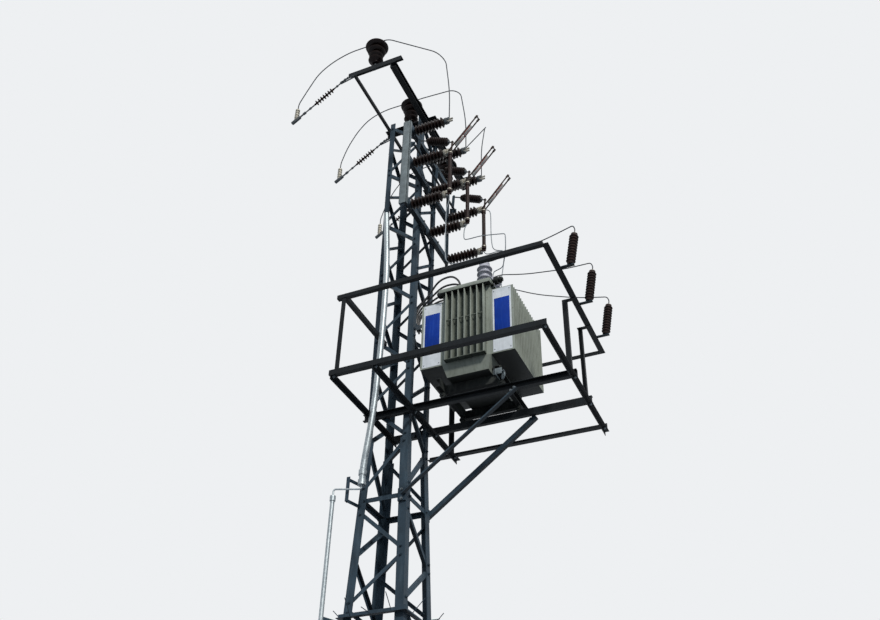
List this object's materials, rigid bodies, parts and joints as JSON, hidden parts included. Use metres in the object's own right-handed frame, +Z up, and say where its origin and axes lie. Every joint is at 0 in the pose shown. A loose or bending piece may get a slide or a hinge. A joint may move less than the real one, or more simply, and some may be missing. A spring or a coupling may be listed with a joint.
{
  "type": "mast-mounted power transformer",
  "caption": "Lattice mast carrying an oil-filled power transformer on a braced platform, with a ganged fused switch, post insulators, surge arresters and a crossarm above.",
  "frame": {"origin": "centre of the concrete footing's underside, at ground level", "axes": "+Z up the mast, +X from the mast along the platform towards its free end, +Y across the platform along the crossarm"},
  "size_m": [3.5783, 2.67, 11.784],
  "materials": {
    "dark_steel": "satin",
    "bare_wire": "satin",
    "bright_zinc": "satin",
    "concrete": "rough",
    "contact_metal": "satin",
    "tank_paint": "satin",
    "fuse_brown": "gloss",
    "grey_glaze": "gloss",
    "brown_polymer": "matt",
    "brown_glaze": "gloss",
    "cable_black": "matt",
    "sign_white": "gloss",
    "grey_steel": "satin"
  },
  "bodies": {
    "mast": {"anti_climb_frame": "dark_steel", "arrester_brackets": "dark_steel", "arrester_leads": "bare_wire", "base_frame": "dark_steel", "bracing_far": "dark_steel", "bracing_left": "dark_steel", "bracing_near": "dark_steel", "bracing_right": "dark_steel", "bushing_leads": "bare_wire", "cable_pipe": "bright_zinc", "concrete_footing": "concrete", "crossarm_bars": "dark_steel", "crossarm_left": "dark_steel", "crossarm_right": "dark_steel", "fins_ends": "tank_paint", "fins_left": "tank_paint", "fins_right": "tank_paint", "fuse_tubes": "fuse_brown", "high_voltage_bushings": "grey_glaze", "hinge_brackets": "contact_metal", "leg_far_left": "dark_steel", "leg_far_right": "dark_steel", "leg_near_left": "dark_steel", "leg_near_right": "dark_steel", "line_leads": "bare_wire", "low_voltage_bushings": "brown_glaze", "low_voltage_cables": "cable_black", "lower_insulators": "brown_glaze", "mast_ring": "dark_steel", "middle_insulators": "brown_glaze", "outer_pipe": "bright_zinc", "pin_insulators": "brown_glaze", "pipe_brackets": "dark_steel", "platform_beam_far": "dark_steel", "platform_beam_near": "dark_steel", "platform_edge_far": "dark_steel", "platform_edge_near": "dark_steel", "platform_struts": "dark_steel", "platform_ties": "dark_steel", "rail_far": "dark_steel", "rail_left": "dark_steel", "rail_near": "dark_steel", "rail_posts": "dark_steel", "rail_right": "dark_steel", "shaft_bearings": "dark_steel", "sign_plates": "sign_white", "surge_arresters": "brown_polymer", "switch_rails": "grey_steel", "switch_uprights": "grey_steel", "tank": "tank_paint", "tank_fittings": "tank_paint", "tank_lid": "tank_paint", "tension_strings": "brown_polymer", "upper_contacts": "contact_metal", "upper_insulators": "brown_glaze"},
    "switch_shaft": {"drive_shaft": "dark_steel"},
    "switch_blades": {"contact_blades": "contact_metal"},
    "drive_rods": {"insulated_rods": "brown_polymer"}
  },
  "joints": [
    {"name": "shaft_turn", "type": "hinge", "parent": "mast", "child": "switch_shaft", "pos_m": [0.387, 0, 10.09], "axis": [0, -1, 0], "range_deg": [0, 38.7]},
    {"name": "blades_close", "type": "hinge", "parent": "mast", "child": "switch_blades", "pos_m": [0.85, 0, 9.86], "axis": [0, -1, 0], "range_deg": [0, 38.7]},
    {"name": "rods_swing", "type": "hinge", "parent": "switch_shaft", "child": "drive_rods", "pos_m": [0.39991, 0, 10.28958], "axis": [0, -1, 0], "range_deg": [-38.7, 0]}
  ],
  "couplings": [
    {"joint": "blades_close", "follows": "shaft_turn", "ratio": 1},
    {"joint": "rods_swing", "follows": "shaft_turn", "ratio": -1}
  ]
}
